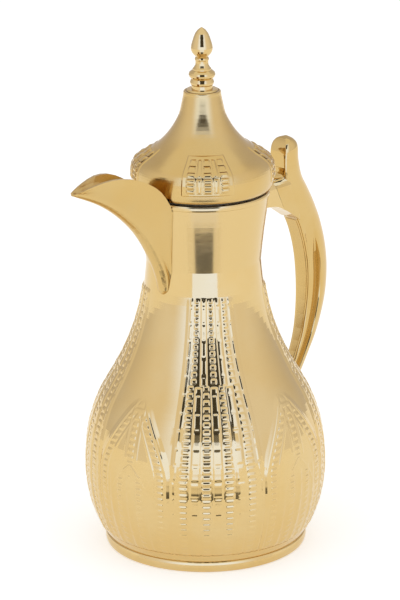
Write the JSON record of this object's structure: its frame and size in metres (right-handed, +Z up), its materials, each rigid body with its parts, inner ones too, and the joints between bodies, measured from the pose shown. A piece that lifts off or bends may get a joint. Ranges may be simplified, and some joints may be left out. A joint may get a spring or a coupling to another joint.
{
  "type": "dallah coffee pot",
  "caption": "Arabic coffee pot of the vacuum flask kind: pear body, open beak spout, side handle and a domed lift-off lid with a twist-to-pour stopper.",
  "frame": {"origin": "centre of the foot's resting plane, on the axis of the pot", "axes": "+Z up along the axis, spout towards -X, handle towards +X"},
  "size_m": [0.215, 0.1422, 0.313],
  "materials": {
    "plated_satin": "satin champagne-gold electroplate on a plastic moulding",
    "plated_brushed": "brushed champagne-gold electroplate on a plastic moulding",
    "plated_polished": "mirror champagne-gold electroplate on a plastic moulding",
    "base_plastic": "moulded beige plastic",
    "inner_plastic": "moulded ivory plastic",
    "foam": "rigid insulating foam",
    "rubber": "soft silicone",
    "silvered_glass": "silvered vacuum glass",
    "steel": "zinc plated screw"
  },
  "bodies": {
    "pot": {"body_shell": "plated_satin", "foot_ring": "plated_polished", "base_screws": "steel", "bottom_cap": "base_plastic", "base_cushion": "rubber", "liner_outer_glass": "silvered_glass", "liner_inner_glass": "silvered_glass", "liner_spacers": "inner_plastic", "mouth_seal": "rubber", "neck_collar": "plated_brushed", "neck_insert": "inner_plastic", "spout": "plated_satin", "spout_screws": "steel", "handle_shell": "plated_polished", "handle_inner_cover": "plated_satin", "handle_top_screw": "steel", "handle_bottom_screw": "steel"},
    "stopper": {"stopper_body": "inner_plastic", "stopper_gasket": "rubber", "stopper_foam": "foam"},
    "lid": {"lid_dome": "plated_satin", "lid_base": "inner_plastic", "lid_screws": "steel", "finial": "plated_polished", "finial_screw": "steel"},
    "valve": {"valve_plunger": "inner_plastic", "valve_gasket": "rubber"}
  },
  "joints": [
    {"name": "lid_lift", "type": "slide", "parent": "pot", "child": "stopper", "axis": [0, 0, 1], "range_m": [0, 0.075]},
    {"name": "lid_turn", "type": "hinge", "parent": "stopper", "child": "lid", "pos_m": [0, 0, 0.22], "axis": [0, 0, 1], "range_deg": [0, 120]},
    {"name": "valve_drop", "type": "slide", "parent": "stopper", "child": "valve", "axis": [0, 0, -1], "range_m": [0, 0.004]}
  ],
  "couplings": [
    {"joint": "valve_drop", "follows": "lid_turn", "m_per_rad": 0.0019098}
  ]
}
